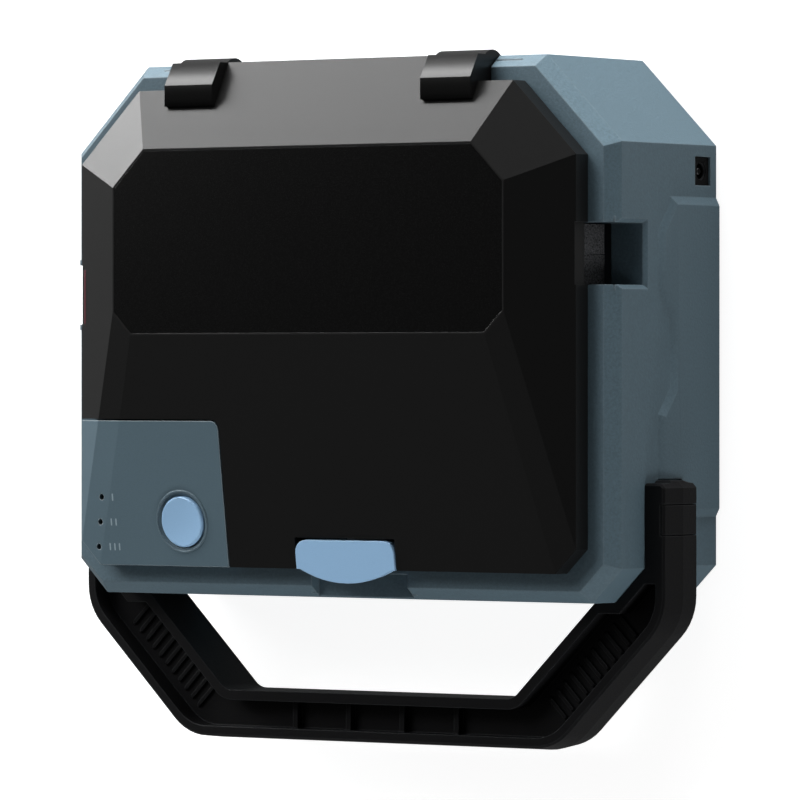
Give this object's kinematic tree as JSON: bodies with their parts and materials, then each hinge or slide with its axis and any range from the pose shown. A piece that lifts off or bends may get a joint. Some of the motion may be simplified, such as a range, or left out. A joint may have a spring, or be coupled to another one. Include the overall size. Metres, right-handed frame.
{
  "type": "cable label printer",
  "caption": "Portable cable label printer: octagonal case with a hinged faceted lid, latch tab, control panel with power button, tube notches and a U-shaped carrying handle.",
  "frame": {"origin": "middle of the whole object's footprint, on the surface it lies on", "axes": "+X along the tube path towards the inlet, +Y towards the lid's hinge, +Z out of the lid"},
  "size_m": [0.2508, 0.2426, 0.086],
  "materials": {
    "case": "moulded, fine texture",
    "lid": "satin moulded",
    "window": "smooth",
    "accent": "satin moulded",
    "handle": "fine texture",
    "chassis": "moulded",
    "rubber": "matte",
    "steel": "satin",
    "aluminium": "satin",
    "gear": "moulded acetal",
    "board": "solder mask",
    "parts": "moulded",
    "wrap": "shrink wrap",
    "ribbon": "smooth film",
    "pipe": "smooth"
  },
  "bodies": {
    "printer": {"main_housing": "case", "back_cover": "case", "rubber_feet": "rubber", "back_screws": "steel", "deck_plate": "chassis", "deck_screws": "steel", "control_panel": "case", "light_pipes": "pipe", "button_board": "board", "main_board": "board", "board_parts": "parts", "battery_pack": "wrap", "dc_jack": "parts", "feed_motor": "steel", "gear_plate": "steel", "fixed_posts": "steel", "print_head": "aluminium", "head_bracket": "steel", "ribbon_film": "ribbon", "tube_guides": "chassis", "cutter_frame": "steel", "cutter_solenoid": "parts", "cassette_shell": "chassis", "hinge_pins": "steel", "latch_striker": "steel", "handle": "handle", "handle_caps": "handle", "handle_screws": "steel"},
    "lid": {"lid_shell": "lid", "lid_window": "window", "lid_liner": "lid", "lid_screws": "steel", "hinge_arms": "lid", "latch_pin": "steel"},
    "latch": {"latch_tab": "accent"},
    "button": {"power_button": "accent"},
    "pinion": {"motor_pinion": "gear"},
    "feed_idler": {"feed_idler": "gear"},
    "ribbon_idler": {"ribbon_idler": "gear"},
    "platen": {"platen_gear": "gear", "platen_shaft": "steel", "platen_roller": "rubber"},
    "feed": {"feed_gear": "gear", "feed_shaft": "steel", "feed_roller": "rubber"},
    "take_up": {"take_up_gear": "gear", "take_up_spool": "ribbon"},
    "supply": {"supply_spool": "ribbon"},
    "lever": {"pinch_lever": "steel"},
    "pinch": {"pinch_roller": "rubber"},
    "blade": {"cutter_blade": "steel"}
  },
  "joints": [
    {"name": "lid_hinge", "type": "hinge", "parent": "printer", "child": "lid", "pos_m": [0, 0.11415, 0.0655], "axis": [-1, 0, 0], "range_deg": [0, 100]},
    {"name": "latch_pivot", "type": "hinge", "parent": "lid", "child": "latch", "pos_m": [0.0103, -0.0512, 0.07128], "axis": [-1, 0, 0], "range_deg": [0, 8], "stiffness_Nm_per_rad": 0.2},
    {"name": "button_press", "type": "slide", "parent": "printer", "child": "button", "axis": [0, 0.1343, -0.9909], "range_m": [0, 0.001], "stiffness_N_per_m": 800},
    {"name": "platen_spin", "type": "hinge", "parent": "printer", "child": "platen", "pos_m": [-0.00047, 0.05284, 0.0365], "axis": [0, 0, 1], "continuous": true},
    {"name": "feed_spin", "type": "hinge", "parent": "printer", "child": "feed", "pos_m": [0.03747, 0.05492, 0.0365], "axis": [0, 0, 1], "continuous": true},
    {"name": "feed_idler_spin", "type": "hinge", "parent": "printer", "child": "feed_idler", "pos_m": [0.01769, 0.06852, 0.0365], "axis": [0, 0, 1], "continuous": true},
    {"name": "motor_spin", "type": "hinge", "parent": "printer", "child": "pinion", "pos_m": [0.01671, 0.08649, 0.0365], "axis": [0, 0, 1], "continuous": true},
    {"name": "ribbon_idler_spin", "type": "hinge", "parent": "printer", "child": "ribbon_idler", "pos_m": [-0.01273, 0.02113, 0.0365], "axis": [0, 0, 1], "continuous": true},
    {"name": "take_up_spin", "type": "hinge", "parent": "printer", "child": "take_up", "pos_m": [-0.00602, -0.01016, 0.0365], "axis": [0, 0, 1], "continuous": true},
    {"name": "supply_spin", "type": "hinge", "parent": "printer", "child": "supply", "pos_m": [0.0439, -0.00742, 0.0365], "axis": [0, 0, 1], "continuous": true},
    {"name": "lever_swing", "type": "hinge", "parent": "printer", "child": "lever", "pos_m": [0.0564, 0.03844, 0.0445], "axis": [0, 0, 1], "range_deg": [0, 12]},
    {"name": "pinch_spin", "type": "hinge", "parent": "lever", "child": "pinch", "pos_m": [0.03834, 0.03905, 0.0445], "axis": [0, 0, 1], "continuous": true},
    {"name": "blade_slide", "type": "slide", "parent": "printer", "child": "blade", "axis": [0.0549, -0.9985, 0], "range_m": [0, 0.005], "stiffness_N_per_m": 60}
  ],
  "couplings": [
    {"joint": "feed_spin", "follows": "platen_spin", "ratio": 1},
    {"joint": "feed_idler_spin", "follows": "platen_spin", "ratio": -1.4},
    {"joint": "motor_spin", "follows": "platen_spin", "ratio": 1.75},
    {"joint": "ribbon_idler_spin", "follows": "platen_spin", "ratio": -0.7},
    {"joint": "take_up_spin", "follows": "platen_spin", "ratio": 1.1667},
    {"joint": "supply_spin", "follows": "platen_spin", "ratio": 1.1667}
  ]
}
